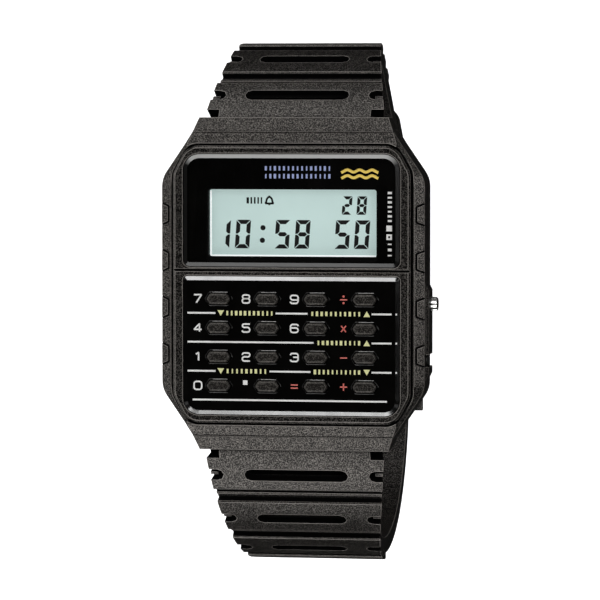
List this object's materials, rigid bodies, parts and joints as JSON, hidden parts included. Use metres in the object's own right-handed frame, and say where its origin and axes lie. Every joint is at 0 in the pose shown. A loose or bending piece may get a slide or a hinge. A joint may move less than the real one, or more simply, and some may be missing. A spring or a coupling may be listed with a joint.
{
  "type": "calculator wristwatch",
  "caption": "Digital wristwatch with a small keypad calculator under its display, side push buttons and a closed resin strap with plate-like links and a pin buckle.",
  "frame": {"origin": "centre of the case back's outer face", "axes": "+Z out of the face, +Y to 12 o'clock, +X to the side buttons at 3 o'clock"},
  "size_m": [0.0358, 0.0698, 0.0529],
  "materials": {
    "case_resin": "satin, finely speckled",
    "clear_lens": "polished",
    "gloss_black": "polished",
    "key_resin": "satin",
    "grey_rubber": "matte",
    "display_glass": "polished",
    "reflector_foil": "satin",
    "board_green": "satin",
    "chip_black": "glossy",
    "steel": "brushed",
    "copper": "enamelled",
    "ceramic_beige": "matte",
    "module_plastic": "matte",
    "yellow_film": "satin",
    "brass": "plain",
    "black_rubber": "matte",
    "chrome_button": "polished",
    "strap_resin": "satin, finely speckled",
    "buckle_resin": "satin"
  },
  "bodies": {
    "watch": {"case": "case_resin", "display_lens": "clear_lens", "display_mask": "gloss_black", "keypad_panel": "gloss_black", "key_mat": "grey_rubber", "lcd_contact_strips": "grey_rubber", "lcd_glass": "display_glass", "lcd_reflector": "reflector_foil", "circuit_board": "board_green", "processor_chip": "chip_black", "quartz_crystal": "steel", "battery": "steel", "battery_clip": "steel", "case_back": "steel", "case_back_screws": "steel", "mode_button_spring": "steel", "adjust_button_spring": "steel", "spring_bar_12": "steel", "spring_bar_6": "steel", "buckle_bar": "steel", "booster_coil": "copper", "board_components": "ceramic_beige", "module_frame": "module_plastic", "battery_insulator": "yellow_film", "piezo_disc": "brass", "piezo_spring": "brass", "button_contacts": "brass", "case_back_gasket": "black_rubber", "strap_12": "strap_resin", "strap_6": "strap_resin"},
    "mode_button": {"mode_button": "chrome_button", "mode_button_seal": "black_rubber", "mode_button_clip": "steel"},
    "adjust_button": {"adjust_button": "chrome_button", "adjust_button_seal": "black_rubber", "adjust_button_clip": "steel"},
    "buckle_frame": {"buckle_frame": "buckle_resin"},
    "buckle_tongue": {"buckle_tongue": "steel"},
    "keeper_loop": {"keeper_loop": "strap_resin"},
    "key_7": {"key_7": "key_resin"},
    "key_8": {"key_8": "key_resin"},
    "key_9": {"key_9": "key_resin"},
    "key_divide": {"key_divide": "key_resin"},
    "key_4": {"key_4": "key_resin"},
    "key_5": {"key_5": "key_resin"},
    "key_6": {"key_6": "key_resin"},
    "key_times": {"key_times": "key_resin"},
    "key_1": {"key_1": "key_resin"},
    "key_2": {"key_2": "key_resin"},
    "key_3": {"key_3": "key_resin"},
    "key_minus": {"key_minus": "key_resin"},
    "key_0": {"key_0": "key_resin"},
    "key_point": {"key_point": "key_resin"},
    "key_equals": {"key_equals": "key_resin"},
    "key_plus": {"key_plus": "key_resin"}
  },
  "joints": [
    {"name": "key_7_press", "type": "slide", "parent": "watch", "child": "key_7", "axis": [0, 0, -1], "range_m": [0, 0.0004], "stiffness_N_per_m": 3700},
    {"name": "key_8_press", "type": "slide", "parent": "watch", "child": "key_8", "axis": [0, 0, -1], "range_m": [0, 0.0004], "stiffness_N_per_m": 3700},
    {"name": "key_9_press", "type": "slide", "parent": "watch", "child": "key_9", "axis": [0, 0, -1], "range_m": [0, 0.0004], "stiffness_N_per_m": 3700},
    {"name": "key_divide_press", "type": "slide", "parent": "watch", "child": "key_divide", "axis": [0, 0, -1], "range_m": [0, 0.0004], "stiffness_N_per_m": 3700},
    {"name": "key_4_press", "type": "slide", "parent": "watch", "child": "key_4", "axis": [0, 0, -1], "range_m": [0, 0.0004], "stiffness_N_per_m": 3700},
    {"name": "key_5_press", "type": "slide", "parent": "watch", "child": "key_5", "axis": [0, 0, -1], "range_m": [0, 0.0004], "stiffness_N_per_m": 3700},
    {"name": "key_6_press", "type": "slide", "parent": "watch", "child": "key_6", "axis": [0, 0, -1], "range_m": [0, 0.0004], "stiffness_N_per_m": 3700},
    {"name": "key_times_press", "type": "slide", "parent": "watch", "child": "key_times", "axis": [0, 0, -1], "range_m": [0, 0.0004], "stiffness_N_per_m": 3700},
    {"name": "key_1_press", "type": "slide", "parent": "watch", "child": "key_1", "axis": [0, 0, -1], "range_m": [0, 0.0004], "stiffness_N_per_m": 3700},
    {"name": "key_2_press", "type": "slide", "parent": "watch", "child": "key_2", "axis": [0, 0, -1], "range_m": [0, 0.0004], "stiffness_N_per_m": 3700},
    {"name": "key_3_press", "type": "slide", "parent": "watch", "child": "key_3", "axis": [0, 0, -1], "range_m": [0, 0.0004], "stiffness_N_per_m": 3700},
    {"name": "key_minus_press", "type": "slide", "parent": "watch", "child": "key_minus", "axis": [0, 0, -1], "range_m": [0, 0.0004], "stiffness_N_per_m": 3700},
    {"name": "key_0_press", "type": "slide", "parent": "watch", "child": "key_0", "axis": [0, 0, -1], "range_m": [0, 0.0004], "stiffness_N_per_m": 3700},
    {"name": "key_point_press", "type": "slide", "parent": "watch", "child": "key_point", "axis": [0, 0, -1], "range_m": [0, 0.0004], "stiffness_N_per_m": 3700},
    {"name": "key_equals_press", "type": "slide", "parent": "watch", "child": "key_equals", "axis": [0, 0, -1], "range_m": [0, 0.0004], "stiffness_N_per_m": 3700},
    {"name": "key_plus_press", "type": "slide", "parent": "watch", "child": "key_plus", "axis": [0, 0, -1], "range_m": [0, 0.0004], "stiffness_N_per_m": 3700},
    {"name": "mode_button_press", "type": "slide", "parent": "watch", "child": "mode_button", "axis": [-1, 0, 0], "range_m": [0, 0.0006], "stiffness_N_per_m": 4000, "deforming": ["mode_button_spring"]},
    {"name": "adjust_button_press", "type": "slide", "parent": "watch", "child": "adjust_button", "axis": [-1, 0, 0], "range_m": [0, 0.00035], "stiffness_N_per_m": 6000, "deforming": ["adjust_button_spring"]},
    {"name": "buckle_frame_hinge", "type": "hinge", "parent": "watch", "child": "buckle_frame", "pos_m": [0, -0.01, -0.0394], "axis": [1, 0, 0], "range_deg": [0, 5]},
    {"name": "buckle_tongue_hinge", "type": "hinge", "parent": "buckle_frame", "child": "buckle_tongue", "pos_m": [0, -0.01, -0.0394], "axis": [1, 0, 0], "range_deg": [0, 10]},
    {"name": "keeper_slide", "type": "slide", "parent": "watch", "child": "keeper_loop", "axis": [0, 1, 0], "range_m": [-0.0015, 0.001]}
  ]
}
